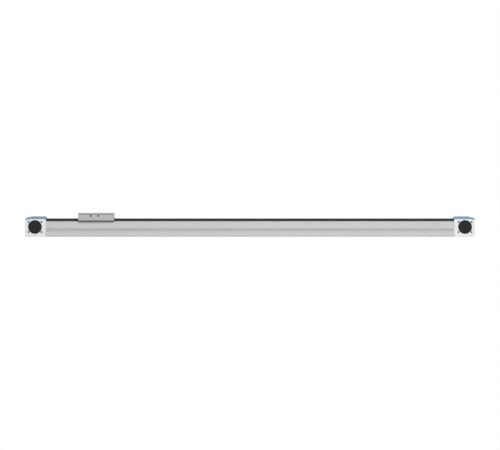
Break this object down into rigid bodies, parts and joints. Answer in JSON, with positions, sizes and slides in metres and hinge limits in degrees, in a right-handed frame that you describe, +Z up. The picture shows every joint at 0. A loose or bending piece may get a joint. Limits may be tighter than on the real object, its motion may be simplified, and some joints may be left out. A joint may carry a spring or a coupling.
{
  "type": "toothed belt linear axis",
  "caption": "Toothed belt linear axis: extruded profile between two drive heads, ball-guided carriage on black rails driven by an endless belt over pulleys in the heads",
  "frame": {"origin": "centre of the underside, midway between the two drive heads", "axes": "+X along the axis towards the right head, -Y towards the viewer of the picture, +Z up"},
  "size_m": [1.25, 0.074, 0.0667],
  "materials": {
    "anodised_profile": "clear anodised extrusion",
    "carriage_aluminium": "clear anodised",
    "plate_aluminium": "darker anodised",
    "clamp_aluminium": "machined",
    "head_finish": "light grey satin coating",
    "blue_plastic": "fine moulded grain",
    "black_plastic": "moulded",
    "black_coated_steel": "black corrosion coating",
    "grey_plastic": "moulded",
    "belt_rubber": "matt elastomer",
    "seal_rubber": "matt",
    "screw_steel": "zinc plated",
    "bearing_steel": "ground",
    "spring_steel": "blackened"
  },
  "bodies": {
    "axis_frame": {"profile": "anodised_profile", "toothed_belt": "belt_rubber", "front_guide_rail": "black_coated_steel", "front_rail_screws": "screw_steel", "rear_guide_rail": "black_coated_steel", "rear_rail_screws": "screw_steel", "left_drive_head": "head_finish", "left_head_cover": "blue_plastic", "left_head_screws": "screw_steel", "left_front_bore_cap": "black_plastic", "left_rear_bore_cap": "black_plastic", "left_bearing_outer_rings": "bearing_steel", "left_bearing_shields": "screw_steel", "left_retaining_rings": "spring_steel", "right_drive_head": "head_finish", "right_head_cover": "blue_plastic", "right_head_screws": "screw_steel", "right_front_bore_cap": "black_plastic", "right_rear_bore_cap": "black_plastic", "right_bearing_outer_rings": "bearing_steel", "right_bearing_shields": "screw_steel", "right_retaining_rings": "spring_steel"},
    "carriage": {"carriage_body": "carriage_aluminium", "carriage_top_plate": "plate_aluminium", "top_plate_screws": "screw_steel", "fixed_belt_clamp": "clamp_aluminium", "tension_belt_clamp": "clamp_aluminium", "belt_tension_screw": "screw_steel", "clamp_screws": "screw_steel", "runner_end_caps": "black_plastic", "runner_wipers": "seal_rubber", "runner_balls": "bearing_steel", "runner_screws": "screw_steel", "carriage_side_seals": "grey_plastic", "left_front_runner_block": "bearing_steel", "right_front_runner_block": "bearing_steel", "left_rear_runner_block": "bearing_steel", "right_rear_runner_block": "bearing_steel"},
    "left_pulley_set": {"left_pulley": "clamp_aluminium", "left_pulley_flanges": "screw_steel", "left_hollow_shaft": "bearing_steel", "left_pulley_key": "screw_steel", "left_spacer_rings": "screw_steel", "left_bearing_inner_rings": "bearing_steel"},
    "right_pulley_set": {"right_pulley": "clamp_aluminium", "right_pulley_flanges": "screw_steel", "right_hollow_shaft": "bearing_steel", "right_pulley_key": "screw_steel", "right_spacer_rings": "screw_steel", "right_bearing_inner_rings": "bearing_steel"}
  },
  "joints": [
    {"name": "carriage_slide", "type": "slide", "parent": "axis_frame", "child": "carriage", "axis": [1, 0, 0], "range_m": [-0.075, 0.93], "deforming": ["toothed_belt"]},
    {"name": "left_pulley_spin", "type": "hinge", "parent": "axis_frame", "child": "left_pulley_set", "pos_m": [-0.5975, 0, 0.02778], "axis": [0, 1, 0], "range_deg": [-193.4, 2391.9]},
    {"name": "right_pulley_spin", "type": "hinge", "parent": "axis_frame", "child": "right_pulley_set", "pos_m": [0.5975, 0, 0.02778], "axis": [0, 1, 0], "range_deg": [-193.4, 2391.9]}
  ],
  "couplings": [
    {"joint": "left_pulley_spin", "follows": "carriage_slide", "rad_per_m": 44.88},
    {"joint": "right_pulley_spin", "follows": "carriage_slide", "rad_per_m": 44.88}
  ]
}
